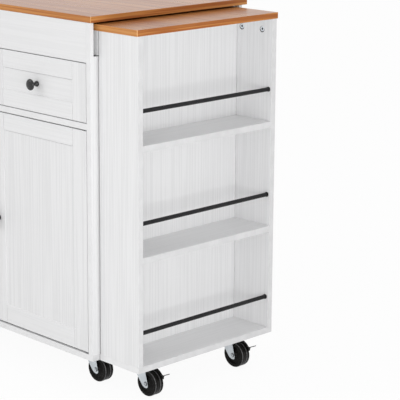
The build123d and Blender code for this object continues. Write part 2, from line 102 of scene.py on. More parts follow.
class IslandSizes(PropertyGroup):
    """Small sizes of the dressed pieces, in metres."""

    board_round: length("Board edge", 0.0006, "Rounding along the edges of a white board")
    frame_round: length("Frame edge", 0.0004, "Rounding along the edges of a front's stiles and rails")
    joint_gap: length("Joint gap", 0.0009, "Fine gap between a front's stiles and rails")
    top_round: length("Top edge", 0.0005, "Rounding along the upper and lower edges of an oak top")
    top_corner: length("Top corner", 0.001, "Width of the bare corner where two edge bands meet")
    stile: length("Stile", 0.048, "Width of a front's upright frame pieces")
    drawer_rail: length("Drawer rail", 0.043, "Height of a drawer front's level frame pieces")
    door_top_rail: length("Door top rail", 0.042, "Height of a door's upper frame piece")
    door_low_rail: length("Door low rail", 0.048, "Height of a door's lower frame piece")
    door_head_gap: length("Door head gap", 0.0007, "Extra gap over a door")
    cart_gap: length("Cart gap", 0.0026, "Extra gap between the cabinet and the cart's sides")
    field_recess: length("Field recess", 0.0025, "Depth of a front's field behind its frame")
    field_groove: length("Field groove", 0.0017, "Height of the groove between a field and its top rail")
    groove_depth: length("Groove depth", 0.004, "Depth of that groove behind the frame")
    rod_coat: length("Rod coat", 0.0006, "Thickness of the black coat over a guard rod")
    wheel_width: length("Wheel width", 0.0265, "Width of a caster's tread")
    fork_inner: length("Fork inside", 0.01425, "Distance from a wheel's middle to the inside of a fork leg")
    fork_wall: length("Fork sheet", 0.002, "Thickness of a fork's sheet")
    brake_width: length("Brake width", 0.007, "Width of a brake's shoe")
    brake_offset: length("Brake offset", 0.00775, "Distance of a brake's shoe behind its wheel's middle")
    lever_width: length("Lever width", 0.005, "Width of a brake's lever")
    lever_thickness: length("Lever thickness", 0.0022, "Thickness of a brake's lever")
    steps: IntProperty(
        name="Turned steps", description="Faces round a turned piece", default=64, min=12, max=128,
    )


class IslandFinishes(PropertyGroup):
    """Colours of the island's finishes, linear."""

    white: colour("White foil", (0.80, 0.80, 0.805), "Embossed white foil on the boards")
    white_low: colour("White foil pores", (0.735, 0.735, 0.74), "Pressed pores of the white foil")
    # Painted shade: this darker band goes on the board edges that do not face the front or rear.
    band: colour("White edge band", (0.63, 0.63, 0.635), "Smooth band on the boards' edges")
    oak_light: colour("Oak light", (0.66, 0.32, 0.105), "Pale streaks of the oak tops")
    oak_mid: colour("Oak", (0.54, 0.225, 0.062), "Middle tone of the oak tops")
    oak_dark: colour("Oak dark", (0.36, 0.115, 0.028), "Dark streaks of the oak tops")
    oak_core: colour("Oak band end", (0.84, 0.50, 0.23), "Bare end of an edge band at a corner")
    # Painted shade: a dark sheet under the worktop stands in for the shadow in the gap over the leaf.
    backing: colour("Backing sheet", (0.03, 0.024, 0.019), "Dark sheet on the worktop's underside")
    core: colour("Board core", (0.21, 0.155, 0.10), "Bare chipboard inside the bored holes")
    black: colour("Black coat", (0.017, 0.0165, 0.018), "Coat of the knobs and rods")
    zinc: colour("Zinc", (0.60, 0.635, 0.665), "Plated sheet of the casters and fittings")
    steel: colour("Dark steel", (0.21, 0.21, 0.22), "Washers, bolt ends and brake levers")
    tread: colour("Tread", (0.0045, 0.004, 0.0037), "Moulded black of the wheels")
    # Painted highlight: this grey on the treads' shoulders and one groove wall stands for the light they catch.
    tread_edge: colour("Tread edge", (0.075, 0.075, 0.077), "Rubbed edges of the wheels' treads")
    plastic: colour("White plastic", (0.78, 0.78, 0.77), "Moulded glides, bushes and catches")


def sizes():
    """The sizes as the user has set them."""
    return bpy.context.scene.island_sizes


def colours():
    """The colours as the user has set them."""
    return bpy.context.scene.island_finishes


# Shader maths
class Value:
    """A shader value that takes Python arithmetic; each step adds a Math node."""

    def __init__(self, nodes, socket):
        self.nodes = nodes
        self.socket = socket

    def __add__(self, other):
        return self.nodes.math("ADD", self, other)

    def __sub__(self, other):
        return self.nodes.math("SUBTRACT", self, other)

    def __rsub__(self, other):
        return self.nodes.math("SUBTRACT", other, self)

    def __mul__(self, other):
        return self.nodes.math("MULTIPLY", self, other)

    __radd__ = __add__
    __rmul__ = __mul__


class Nodes:
    """A node tree that is being filled."""

    def __init__(self, tree):
        self.tree = tree

    def node(self, kind, settings, sockets, out):
        """Add a node, set it up, fill its sockets and give back one of its outputs."""
        made = self.tree.nodes.new(kind)
        for key, value in settings.items():
            if key == "stops":
                ramp = made.color_ramp.elements
                while len(ramp) < len(value):
                    ramp.new(0.5)
                for element, (place, shade) in zip(ramp, value):
                    element.position = place
                    element.color = (*shade, 1.0)
            else:
                setattr(made, key, value)
        for key, value in sockets.items():
            self.feed(made, key, value)
        return Value(self, next(s for s in made.outputs if s.name == out and s.enabled))

    def feed(self, made, key, value):
        """Link a value to a node's socket, given by name or count, or set a number or colour on it."""
        socket = next(s for i, s in enumerate(made.inputs) if key == i or (s.name == key and s.enabled))
        if isinstance(value, Value):
            self.tree.links.new(value.socket, socket)
        elif socket.type == "RGBA":
            socket.default_value = (*value, 1.0)
        else:
            socket.default_value = value

    def math(self, operation, a, b):
        """One step of arithmetic on two values or numbers."""
        return self.node("ShaderNodeMath", {"operation": operation}, {0: a, 1: b}, "Value")

    def mix(self, factor, a, b):
        """Colour a at factor 0 and colour b at factor 1."""
        sockets = {"Factor": factor, "A": a, "B": b}
        return self.node("ShaderNodeMix", {"data_type": "RGBA"}, sockets, "Result")

    def smooth(self, value, low, high):
        """Value from 0 at low to 1 at high, eased at both ends."""
        return self.node(
            "ShaderNodeMapRange", {"interpolation_type": "SMOOTHSTEP"},
            {"Value": value, "From Min": low, "From Max": high}, "Result",
        )

    def place(self, scale):
        """Object coordinates in metres, times a scale along each axis."""
        at = self.node("ShaderNodeTexCoord", {}, {}, "Object")
        sockets = {"Vector": at, "Scale": scale}
        return self.node("ShaderNodeMapping", {"vector_type": "POINT"}, sockets, "Vector")

    def noise(self, scale, detail=2.0, roughness=0.5, distortion=0.0):
        """Noise in cycles per metre: one number, or one along each axis."""
        along = scale if isinstance(scale, (list, tuple)) else (scale,) * 3
        return self.node(
            "ShaderNodeTexNoise", {"noise_dimensions": "3D"},
            {"Vector": self.place(along), "Scale": 1.0, "Detail": detail, "Roughness": roughness,
             "Distortion": distortion}, "Fac",
        )

    def streaks(self, fine, coarse, axis, detail=2.0, distortion=0.0):
        """Noise drawn out along one axis: coarse and fine are cycles per metre along and across it."""
        scale = [fine] * 3
        scale[axis] = coarse
        return self.noise(scale, detail, roughness=0.55, distortion=distortion)

    def bump(self, height, distance, strength=1.0):
        """Normal of a surface with a fine relief of that distance, in metres."""
        sockets = {"Height": height, "Distance": distance, "Strength": strength}
        return self.node("ShaderNodeBump", {}, sockets, "Normal")


class Finish(Nodes):
    """One material and the nodes before its main shader."""

    def __init__(self, name):
        self.material = bpy.data.materials.new(name)
        self.material.use_nodes = True
        super().__init__(self.material.node_tree)
        self.shader = self.tree.nodes["Principled BSDF"]

    def coat(self, **sockets):
        """Set the surface's own sockets; underscores stand for the spaces in their names."""
        for key, value in sockets.items():
            self.feed(self.shader, key.replace("_", " "), value)


def shaded(tone, share):
    """A colour made darker or paler by a share."""
    return tuple(share * c for c in tone)


def white_foil(f, tone, axis):
    """White foil with a fine pressed wood grain along one axis."""
    depth = 1.0 if axis == 2 else 0.45
    line = f.streaks(260.0, 3.0, axis, 1.0)
    pore = f.streaks(620.0, 16.0, axis)
    cloud = f.streaks(22.0, 1.5, axis, distortion=0.4)
    grain = (
        f.smooth(line, 0.44, 0.58) * (0.7 * depth) + f.smooth(pore, 0.5, 0.72) * (0.3 * depth)
        + f.smooth(cloud, 0.35, 0.65) * 0.12
    )
    f.coat(
        Base_Color=f.mix(grain, tone.white, tone.white_low),
        Roughness=0.42 + grain * 0.12,
        Normal=f.bump(1.0 - grain, 0.00012, 0.5),
    )


def band_shaded_by_facing(f, tone, clean):
    """Smooth white edge band; clean is the name of its palest colour. The darker band colour on edges that do not
    face the front or rear is painted shade; the front and rear edges keep the face white.
    """
    cloud = f.noise(35.0, 3.0)
    speck = f.noise(900.0)
    f.coat(
        Base_Color=f.mix(f.smooth(cloud, 0.35, 0.7) * 0.5, getattr(tone, clean), tone.white_low),
        Roughness=0.34 + speck * 0.12,
        Normal=f.bump(speck, 0.00004, 0.4),
    )


def oak(f, tone, axis, warm, fine, streak, gloss):
    """Oak grain along one axis; warm leans it to the deep tone, fine is the streaks' cycles per metre."""
    broad = f.streaks(26.0, 1.1, axis, 3.0, 0.6)
    figure = f.streaks(fine, 2.6, axis, 3.0, 0.3)
    pore = f.streaks(700.0, 14.0, axis)
    shade = f.smooth(broad, 0.3, 0.7) * 0.45 + f.smooth(figure, 0.36, 0.64) * streak + warm
    dark = f.smooth(pore, 0.56, 0.74) * 0.3 + f.smooth(figure, 0.6, 0.72) * 0.3
    stops = [(0.0, tone.oak_light), (0.55, tone.oak_mid), (1.0, tone.oak_dark)]
    body = f.node("ShaderNodeValToRGB", {"stops": stops}, {"Fac": shade}, "Color")
    f.coat(
        Base_Color=f.mix(dark, body, tone.oak_dark),
        Roughness=0.25 + dark * 0.2 + figure * 0.06,
        Specular_IOR_Level=gloss,
        Normal=f.bump(1.0 - dark, 0.00008, 0.4),
    )


def oak_core(f, tone):
    """Bare end of an edge band."""
    streak = f.noise((500.0, 500.0, 60.0))
    f.coat(
        Base_Color=f.mix(f.smooth(streak, 0.4, 0.75), tone.oak_core, tone.oak_light),
        Roughness=0.5,
    )


def board_core(f, tone):
    """Bare chipboard inside a bored hole."""
    chip = f.noise(700.0, 3.0, 0.6)
    dark = shaded(tone.core, 0.45)
    f.coat(
        Base_Color=f.mix(f.smooth(chip, 0.4, 0.65), tone.core, dark),
        Roughness=0.75 + chip * 0.1,
        Normal=f.bump(chip, 0.0002, 0.6),
    )


def underside_shade_sheet(f, tone):
    """Dark sheet under the worktop: painted shade that darkens the gap over the leaf."""
    fibre = f.noise(320.0, 3.0)
    pale = shaded(tone.backing, 1.7)
    f.coat(Base_Color=f.mix(fibre, tone.backing, pale), Roughness=0.6 + fibre * 0.2)


def black_coat(f, tone, shade, gloss, rough):
    """Black coat with a fine orange-peel surface; shade scales its colour."""
    peel = f.noise(1400.0)
    cloud = f.noise(60.0)
    low = shaded(tone.black, shade)
    lifted = shaded(low, 1.5)
    f.coat(
        Base_Color=f.mix(f.smooth(cloud, 0.35, 0.7), low, lifted),
        Roughness=rough + peel * 0.1,
        Specular_IOR_Level=gloss,
        Normal=f.bump(peel, 0.00003, 0.6),
    )


def zinc(f, tone, metal, shade):
    """Zinc plate with faint clouding and drawing marks; less metal gives a chalkier, paler cast face."""
    cloud = f.noise(45.0)
    mark = f.noise((2200.0, 2200.0, 120.0))
    clean = shaded(tone.zinc, shade)
    dull = shaded(clean, 0.86)
    f.coat(
        Base_Color=f.mix(f.smooth(cloud, 0.35, 0.7), clean, dull),
        Metallic=metal,
        Roughness=0.3 + cloud * 0.16 + mark * 0.06,
        Normal=f.bump(mark, 0.00002, 0.5),
    )


def moulded_black(f, tone, rough):
    """Moulded black with a fine texture and a few paler scuffs."""
    texture = f.noise(1800.0)
    scuff = f.smooth(f.noise(110.0, 4.0, 0.65), 0.55, 0.8)
    pale = tuple(2.6 * c + 0.006 for c in tone.tread)
    f.coat(
        Base_Color=f.mix(scuff, tone.tread, pale),
        Roughness=rough + texture * 0.12,
        Specular_IOR_Level=0.09,
        Normal=f.bump(texture, 0.00005, 0.5),
    )


def tread_edge(f, tone):
    """Grey of a tread's shoulders and one groove wall: painted highlight."""
    rub = f.noise(320.0, 3.0)
    f.coat(
        Base_Color=f.mix(f.smooth(rub, 0.4, 0.75), tone.tread_edge, tone.tread),
        Roughness=0.4 + rub * 0.2,
    )


def dark_steel(f, tone):
    """Dull steel of the washers, bolt ends and brake levers."""
    stain = f.noise(260.0, 3.0)
    mark = f.noise(2600.0)
    dull = shaded(tone.steel, 0.6)
    f.coat(
        Base_Color=f.mix(f.smooth(stain, 0.4, 0.7), tone.steel, dull),
        Metallic=0.9,
        Roughness=0.36 + stain * 0.14,
        Normal=f.bump(mark, 0.00002, 0.5),
    )


def white_plastic(f, tone):
    """Moulded white plastic."""
    texture = f.noise(1200.0)
    cloud = f.noise(90.0)
    dull = shaded(tone.plastic, 0.92)
    f.coat(
        Base_Color=f.mix(cloud, tone.plastic, dull),
        Roughness=0.4 + texture * 0.1,
        Normal=f.bump(texture, 0.00003, 0.5),
    )


MAKERS = {
    "foil_x": (white_foil, dict(axis=0)),
    "foil_y": (white_foil, dict(axis=1)),
    "foil_z": (white_foil, dict(axis=2)),
    # The band copy paints shade on edges that do not face the front or rear; front_band keeps the face white.
    "band": (band_shaded_by_facing, dict(clean="band")),
    "front_band": (band_shaded_by_facing, dict(clean="white")),
    "oak_x": (oak, dict(axis=0, warm=0.38, fine=95.0, streak=0.4, gloss=0.75)),
    "oak_edge_x": (oak, dict(axis=0, warm=0.02, fine=240.0, streak=0.45, gloss=0.22)),
    "oak_edge_y": (oak, dict(axis=1, warm=0.14, fine=240.0, streak=0.75, gloss=0.14)),
    "oak_core": (oak_core, {}),
    "board_core": (board_core, {}),
    "backing": (underside_shade_sheet, {}),
    "knob_coat": (black_coat, dict(shade=0.6, gloss=0.5, rough=0.22)),
    "rod_coat": (black_coat, dict(shade=0.7, gloss=0.16, rough=0.36)),
    "zinc": (zinc, dict(metal=0.85, shade=1.0)),
    "bright_zinc": (zinc, dict(metal=0.2, shade=1.3)),
    "dark_steel": (dark_steel, {}),
    "tread": (moulded_black, dict(rough=0.34)),
    "tread_edge": (tread_edge, {}),
    "black_plastic": (moulded_black, dict(rough=0.42)),
    "white_plastic": (white_plastic, {}),
}


def material(name):
    """Material of that name, made when it is first asked for."""
    title = "island_" + name
    if title not in bpy.data.materials:
        maker, settings = MAKERS[name]
        maker(Finish(title), colours(), **settings)
    return bpy.data.materials[title]


# Mesh building
def placed(name, data):
    """New object in the scene."""
    made = bpy.data.objects.new(name, data)
    bpy.context.scene.collection.objects.link(made)
    return made


class Shape:
    """A piece's mesh while it is made; skin is the index of the material that new faces get."""

    def __init__(self):
        self.mesh = bmesh.new()
        self.known = set()

    def fresh(self):
        """Faces made since the last call."""
        made = [face for face in self.mesh.faces if face not in self.known]
        self.known.update(made)
        return made

    def outward(self):
        """Turn the new faces outward; they stay new."""
        made = self.fresh()
        bmesh.ops.recalc_face_normals(self.mesh, faces=made)
        self.known.difference_update(made)
        return made

    def paint(self, skin, smooth):
        """Give the new faces a skin and flat or smooth shading."""
        made = self.fresh()
        for face in made:
            face.material_index = skin
            face.smooth = smooth
        return made

    def soften(self, edges, offset, segments=2):
        """Round some edges."""
        if offset > 0:
            bmesh.ops.bevel(
                self.mesh, geom=list(edges), offset=offset, offset_type="OFFSET", segments=segments,
                profile=0.5, affect="EDGES", clamp_overlap=True, material=-1,
            )

    def slab(self, low, high, offset, skin=0):
        """Rounded rectangular slab between two corners."""
        low, high = Vector(low), Vector(high)
        spread = Matrix.LocRotScale((low + high) / 2, None, high - low)
        made = bmesh.ops.create_cube(self.mesh, size=1.0, matrix=spread)
        self.soften({edge for vert in made["verts"] for edge in vert.link_edges}, offset)
        return self.paint(skin, False)

    def turned(self, profile, place, skin=0, sharp=TURNED_SHARP):
        """Full turn of (radius, height) points about the Z axis of place."""
        verts = [self.mesh.verts.new(place @ Vector((radius, 0, height))) for radius, height in profile]
        edges = [self.mesh.edges.new(pair) for pair in zip(verts, verts[1:])]
        bmesh.ops.spin(
            self.mesh, geom=verts + edges, cent=place.translation, axis=place.to_3x3() @ UP,
            angle=2 * math.pi, steps=sizes().steps, use_merge=True,
        )
        made = self.paint(skin, True)
        corners = list({vert for face in made for vert in face.verts})
        bmesh.ops.remove_doubles(self.mesh, verts=corners, dist=TURNED_WELD)
        made = [face for face in made if face.is_valid]
        bmesh.ops.recalc_face_normals(self.mesh, faces=made)
        for edge in {edge for face in made for edge in face.edges}:
            edge.smooth = edge.calc_face_angle(0.0) < sharp
        return made

    def prism(self, outline, place, depth, offset=0.0, skin=0, corner=0.0, corners=()):
        """Flat outline on the XY of place, pushed out along its Z; some corners are rounded first."""
        verts = [self.mesh.verts.new(place @ Vector((x, y, 0))) for x, y in outline]
        face = self.mesh.faces.new(verts)
        made = bmesh.ops.extrude_face_region(self.mesh, geom=[face])["geom"]
        moved = [item for item in made if isinstance(item, bmesh.types.BMVert)]
        bmesh.ops.translate(self.mesh, verts=moved, vec=place.to_3x3() @ Vector((0, 0, depth)))
        uprights = [
            next(e for e in verts[i].link_edges if e.other_vert(verts[i]) in moved) for i in corners
        ]
        self.soften(uprights, corner, CORNER_STEPS)
        made = self.outward()
        edges = {edge for face in made for edge in face.edges}
        rim = {edge for edge in edges if edge.calc_face_angle(0.0) > PRISM_SHARP}
        self.soften(rim, offset)
        return self.paint(skin, False)

    def swept(self, outline, place, angle, steps, skin=0):
        """Outline of (radius, height) points turned part way about the Z axis of place, from its X."""
        verts = [self.mesh.verts.new(place @ Vector((radius, 0, height))) for radius, height in outline]
        face = self.mesh.faces.new(verts)
        bmesh.ops.spin(
            self.mesh, geom=[face], cent=place.translation, axis=place.to_3x3() @ UP,
            angle=angle, steps=steps,
        )
        self.outward()
        return self.paint(skin, False)

    def piece(self, name, body, skins):
        """Finished object, riding on its body."""
        mesh = bpy.data.meshes.new(name)
        self.mesh.to_mesh(mesh)
        self.mesh.free()
        for skin in skins:
            mesh.materials.append(material(skin))
        made = placed(name, mesh)
        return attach(made, body)

    def stand_for(self, node, skins):
        """Finished object in the place of a CAD node."""
        made = self.piece("dressed_" + node, BODY_OF[node], skins)
        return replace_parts(made, node)


def drum(radius, low, high):
    """Profile of a plain closed drum for turning."""
    return ((0, low), (radius, low), (radius, high), (0, high))


def oblong(start, end, half):
    """Outline of an oblong from start to end along X and half to each side."""
    return ((start, -half), (end, -half), (end, half), (start, half))


def middle_at(low, high, y):
    """Point at y on a box's middle line along Y."""
    return Vector(((low.x + high.x) / 2, y, (low.z + high.z) / 2))


def facing(origin, direction):
    """Frame at a point with its Z along a direction."""
    turn = Vector(direction).to_track_quat("Z", "Y").to_matrix().to_4x4()
    return Matrix.Translation(origin) @ turn


# CAD nodes
def merged(node):
    """Copy of a CAD node's mesh with its triangles joined and its flat faces cleared of inner edges."""
    shape = Shape()
    shape.mesh.from_mesh(frame["nodes"][node].data)
    bmesh.ops.remove_doubles(shape.mesh, verts=shape.mesh.verts, dist=CAD_WELD)
    bmesh.ops.dissolve_limit(
        shape.mesh, angle_limit=FLAT_ANGLE, verts=shape.mesh.verts, edges=shape.mesh.edges,
    )
    return shape


def solids(node):
    """Lowest and highest corners of each separate solid in a CAD node; solids that touch stay apart."""
    mesh = bmesh.new()
    mesh.from_mesh(frame["nodes"][node].data)
    bmesh.ops.remove_doubles(mesh, verts=mesh.verts, dist=CAD_WELD)
    seen, found = set(), []
    for start in mesh.faces:
        if start in seen:
            continue
        seen.add(start)
        group, queue = [], [start]
        while queue:
            face = queue.pop()
            group += [vert.co.copy() for vert in face.verts]
            pairs = [edge.link_faces for edge in face.edges if len(edge.link_faces) == 2]
            beside = {other for pair in pairs for other in pair}
            queue += beside - seen
            seen |= beside
        found.append((Vector(map(min, *group)), Vector(map(max, *group))))
    mesh.free()
    return found


def dress(node, skin):
    """Give a CAD node that stays as it is a finish."""
    target = frame["nodes"][node]
    target.data.materials.clear()
    target.data.materials.append(material(skin))


def thin_axis(low, high):
    """Axis along which a board is thinnest."""
    spans = high - low
    return min(range(3), key=lambda i: spans[i])


def face_board(faces, thin):
    """Skin a board: wide faces 0, edges to the front and rear 2, other edges 1, whose darker band is painted
    shade.
    """
    for face in faces:
        wide = abs(face.normal[thin]) > SQUARE
        ahead = abs(face.normal.y) > SQUARE
        face.material_index = 0 if wide else 2 if ahead else 1


def boards(node, grain, play=(0, 0, 0)):
    """Plain boards of a node: foil along the grain on their faces, smooth band on their edges."""
    shape = Shape()
    for low, high in solids(node):
        made = shape.slab(low + Vector(play), high - Vector(play), sizes().board_round)
        face_board(made, thin_axis(low, high))
    shape.stand_for(node, ["foil_" + grain, "band", "front_band"])


def bored_boards(node, grain, left_gap=0.0):
    """Boards with holes: the CAD outline, with its long straight edges rounded and bare holes."""
    shape = merged(node)
    low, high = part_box(node)
    thin = thin_axis(low, high)
    left = [vert for vert in shape.mesh.verts if vert.co.x < low.x + END_REACH]
    bmesh.ops.translate(shape.mesh, verts=left, vec=(left_gap, 0, 0))
    long_edges = [
        edge for edge in shape.mesh.edges
        if edge.calc_length() > HOLE_DEPTH and edge.calc_face_angle(0.0) > BOARD_SHARP
    ]
    shape.soften(long_edges, sizes().board_round)
    faces = shape.paint(0, False)
    face_board(faces, thin)
    across = [axis for axis in range(3) if axis != thin]
    margin = HOLE_DEPTH / 4
    for face in faces:
        middle = face.calc_center_median()
        inside = all(low[axis] + margin < middle[axis] < high[axis] - margin for axis in across)
        steep = abs(face.normal[thin]) < ALONG
        if inside and steep and max(edge.calc_length() for edge in face.edges) < HOLE_DEPTH:
            face.material_index = 3
    shape.stand_for(node, ["foil_" + grain, "band", "front_band", "board_core"])


# Pieces; their values are metres, shares of a size, or angles
class Undoable:
    """An operator that can be undone."""

    bl_options = {"REGISTER", "UNDO"}


class ISLAND_OT_tops(Undoable, Operator):
    """Oak worktop and the extension leaf, with bands on their edges"""

    bl_idname = "island.tops"
    bl_label = "Oak Tops"

    flat = 0.8
    lean = 3.0

    def execute(self, context):
        size = sizes()
        # The worktop's underside gets the dark sheet, painted shade for the gap over the leaf.
        for node, under in (("worktop", "backing"), ("extension_leaf", "foil_x")):
            shape = Shape()
            shape.slab(*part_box(node), 0.0)
            edges = shape.mesh.edges
            uprights = [e for e in edges if abs((e.verts[0].co - e.verts[1].co).normalized().z) > SQUARE]
            shape.soften(uprights, size.top_corner)
            rims = [e for e in edges if {abs(f.normal.z) > SQUARE for f in e.link_faces} == {True, False}]
            shape.soften(rims, size.top_round)
            shape.mesh.normal_update()
            for face in shape.mesh.faces:
                x, y, z = (abs(n) for n in face.normal)
                edge = 1 if y > self.lean * x else 2 if x > self.lean * y else 3
                level = 0 if face.normal.z > 0 else 4
                face.material_index = level if z > self.flat else edge
            shape.stand_for(node, ["oak_x", "oak_edge_x", "oak_edge_y", "oak_core", under])
        return {"FINISHED"}


class ISLAND_OT_carcass(Undoable, Operator):
    """White boards of the main cabinet"""

    bl_idname = "island.carcass"
    bl_label = "Cabinet Boards"

    plain = {
        "front_apron": "x", "rear_apron": "x", "tunnel_floor": "x", "back_panel": "z", "cabinet_shelves": "x",
    }
    bored = {
        "side_panel_left": "z", "side_panel_right": "z", "centre_partition": "z", "base_panel": "x",
        "drawer_dividers": "x",
    }

    def execute(self, context):
        for node, grain in self.plain.items():
            boards(node, grain)
        for node, grain in self.bored.items():
            bored_boards(node, grain)
        return {"FINISHED"}


class ISLAND_OT_fronts(Undoable, Operator):
    """Drawer and door fronts: stiles, rails and a field set back between them"""

    bl_idname = "island.fronts"
    bl_label = "Drawer and Door Fronts"

    def execute(self, context):
        size = sizes()
        for side in SIDES:
            self.front(f"drawer_{side}_front", size.drawer_rail, size.drawer_rail, 0.0, 1)
            self.front(f"door_{side}_panel", size.door_top_rail, size.door_low_rail, size.door_head_gap, 0)
        return {"FINISHED"}

    def front(self, node, top_rail, low_rail, head_gap, field_skin):
        """Two stiles, two rails, and a field behind them with a groove along its top."""
        size = sizes()
        low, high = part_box(node)
        high.z -= head_gap
        left, right = low.x + size.stile, high.x - size.stile
        foot, head = low.z + low_rail, high.z - top_rail
        groove = head - size.field_groove
        shape = Shape()
        gap, inset = size.joint_gap, size.board_round
        for x0, x1, z0, z1, recess, back, edge, skin in (
            (low.x, left, low.z, high.z, 0.0, 0.0, size.frame_round, 0),
            (right, high.x, low.z, high.z, 0.0, 0.0, size.frame_round, 0),
            (left + gap, right - gap, head, high.z, 0.0, 0.0, size.frame_round, 1),
            (left, right, groove, high.z - inset, size.groove_depth, inset, 0.0, field_skin),
            (left, right, low.z + inset, groove, size.field_recess, inset, 0.0, field_skin),
        ):
            shape.slab((x0, low.y + recess, z0), (x1, high.y - back, z1), edge, skin)
        depth, rise = high.y - low.y, foot - low.z
        rail = ((0, 0), (0, rise - size.field_recess), (size.field_recess, rise), (depth, rise), (depth, 0))
        sideways = Matrix(((0, 0, 1), (1, 0, 0), (0, 1, 0))).to_4x4()
        place = Matrix.Translation((left + gap, low.y, low.z)) @ sideways
        shape.prism(rail, place, right - left - 2 * gap, size.frame_round, 1)
        shape.stand_for(node, ["foil_z", "foil_x"])


class ISLAND_OT_drawers(Undoable, Operator):
    """Drawer boxes, their bottoms and the runners"""

    bl_idname = "island.drawers"
    bl_label = "Drawer Boxes"

    def execute(self, context):
        dress("drawer_tracks", "zinc")
        for side in SIDES:
            boards(f"drawer_{side}_box", "y")
            boards(f"drawer_{side}_bottom", "x")
            dress(f"drawer_{side}_sliders", "zinc")
        return {"FINISHED"}


class ISLAND_OT_knobs(Undoable, Operator):
    """Turned knobs with a flared foot, a slim neck and a domed head"""

    bl_idname = "island.knobs"
    bl_label = "Knobs"

    profile = (
        (0.0, 0.0), (0.0068, 0.0), (0.0071, 0.0008), (0.0071, 0.0022), (0.0067, 0.0038), (0.0058, 0.0053),
        (0.0048, 0.0063), (0.0042, 0.0078), (0.0042, 0.0135), (0.0047, 0.0162), (0.0062, 0.0180),
        (0.0096, 0.0190), (0.0126, 0.0197), (0.0137, 0.0207), (0.0140, 0.0219), (0.0136, 0.0231),
        (0.0121, 0.0246), (0.0097, 0.0258), (0.0065, 0.0266), (0.0033, 0.02695), (0.0, 0.0270),
    )
    sharp = math.radians(60)

    def execute(self, context):
        for side in SIDES:
            for kind in ("drawer", "door"):
                node = f"{kind}_{side}_knob"
                low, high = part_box(node)
                foot = middle_at(low, high, high.y)
                shape = Shape()
                shape.turned(self.profile, facing(foot, (0, -1, 0)), sharp=self.sharp)
                shape.stand_for(node, ["knob_coat"])
        return {"FINISHED"}


class ISLAND_OT_cart(Undoable, Operator):
    """White boards of the rolling cart and the rails that run under the worktop"""

    bl_idname = "island.cart"
    bl_label = "Cart Boards"

    plain = {
        "cart_base": "y", "cart_shelf_lower": "y", "cart_shelf_upper": "y", "leaf_rails": "x",
        "leaf_cross_rail": "y",
    }

    def execute(self, context):
        for node, grain in self.plain.items():
            boards(node, grain)
        boards("cart_back", "z", (0, sizes().joint_gap, 0))
        for node in ("cart_side_front", "cart_side_rear"):
            bored_boards(node, "z", sizes().cart_gap)
        return {"FINISHED"}


class ISLAND_OT_rods(Undoable, Operator):
    """Guard rods and the cups that hold their ends"""

    bl_idname = "island.rods"
    bl_label = "Guard Rods"

    end_share = 0.9
    end_round = 0.0005
    cup_bore = 0.76
    cup_rim = ((1.0, 0.7), (0.94, 0.95), (0.9, 1.0))

    def execute(self, context):
        rods = Shape()
        for low, high in solids("guard_rods"):
            radius, span = (high.z - low.z) / 2 + sizes().rod_coat, high.y - low.y
            end = middle_at(low, high, low.y)
            tip = radius * self.end_share
            rods.turned(
                ((0, 0), (tip, 0), (radius, self.end_round), (radius, span - self.end_round), (tip, span),
                 (0, span)),
                facing(end, (0, 1, 0)),
            )
        rods.stand_for("guard_rods", ["rod_coat"])
        cups = Shape()
        front = min(low.y for low, high in solids("rod_sockets"))
        for low, high in solids("rod_sockets"):
            outer, depth = (high.z - low.z) / 2, high.y - low.y
            inner = outer * self.cup_bore
            way = 1 if abs(low.y - front) < depth else -1
            wall = middle_at(low, high, low.y if way > 0 else high.y)
            rim = [(outer * out, depth * rise) for out, rise in self.cup_rim]
            profile = [(inner, 0), (outer, 0), *rim, (inner, depth), (inner, 0)]
            cups.turned(profile, facing(wall, (0, way, 0)))
        cups.stand_for("rod_sockets", ["black_plastic"])
        return {"FINISHED"}


class ISLAND_OT_cams(Undoable, Operator):
    """Cam locks let into the cart's sides, with a crossed driver slot; the cup round each disc and the slot are
    black, painted shade
    """

    bl_idname = "island.cams"
    bl_label = "Cam Locks"

    # Painted shade: the black cup round the disc, with the disc lifted in it, gives a dark crescent below.
    shade_cup = (-0.0095, -0.0010)
    disc_lift = 0.13
    disc = (
        (0.0, -0.0020), (0.8, -0.0020), (0.84, -0.0006), (0.8, -0.0002), (0.42, -0.0002), (0.36, -0.0012),
        (0.0, -0.0014),
    )
    slot_reach = 0.0028
    slot_half = 0.0008
    slot_floor = -0.00135
    slot_height = 0.0006
    slot_turns = (0.25, 0.75)

    def execute(self, context):
        shape = Shape()
        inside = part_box("cart_back")
        middle = (inside[0].y + inside[1].y) / 2
        slot = oblong(-self.slot_reach, self.slot_reach, self.slot_half)
        for low, high in solids("cart_cam_locks"):
            radius = (high.z - low.z) / 2
            way = 1 if high.y < middle else -1
            mouth = middle_at(low, high, high.y if way > 0 else low.y)
            place = facing(mouth, (0, way, 0))
            raised = place @ Matrix.Translation((0, radius * self.disc_lift, 0))
            shape.turned(drum(radius, *self.shade_cup), place, 1)
            shape.turned([(radius * out, rise) for out, rise in self.disc], raised)
            # The driver slot is a black cross, painted shade in its recess.
            for turn in self.slot_turns:
                across = raised @ Matrix.Rotation(turn * math.pi, 4, "Z")
                floor = across @ Matrix.Translation((0, 0, self.slot_floor))
                shape.prism(slot, floor, self.slot_height, skin=1)
        shape.stand_for("cart_cam_locks", ["bright_zinc", "black_plastic"])
        return {"FINISHED"}


# Caster sizes that forks, wheels and brakes share, in metres
TRAIL = 0.023
WHEEL_RADIUS = 0.03175


def caster_frame(name):
    """A caster's own frame: origin on the floor under its pivot, X towards its wheel, Y along its axle."""
    pivot = Vector(JOINTS["swivel_" + name]["pos_m"])
    axle = Vector(JOINTS["roll_" + name]["axis"]).normalized()
    ahead = axle.cross(UP)
    turn = Matrix((ahead, axle, UP)).transposed().to_4x4()
    return Matrix.Translation((pivot.x, pivot.y, 0)) @ turn


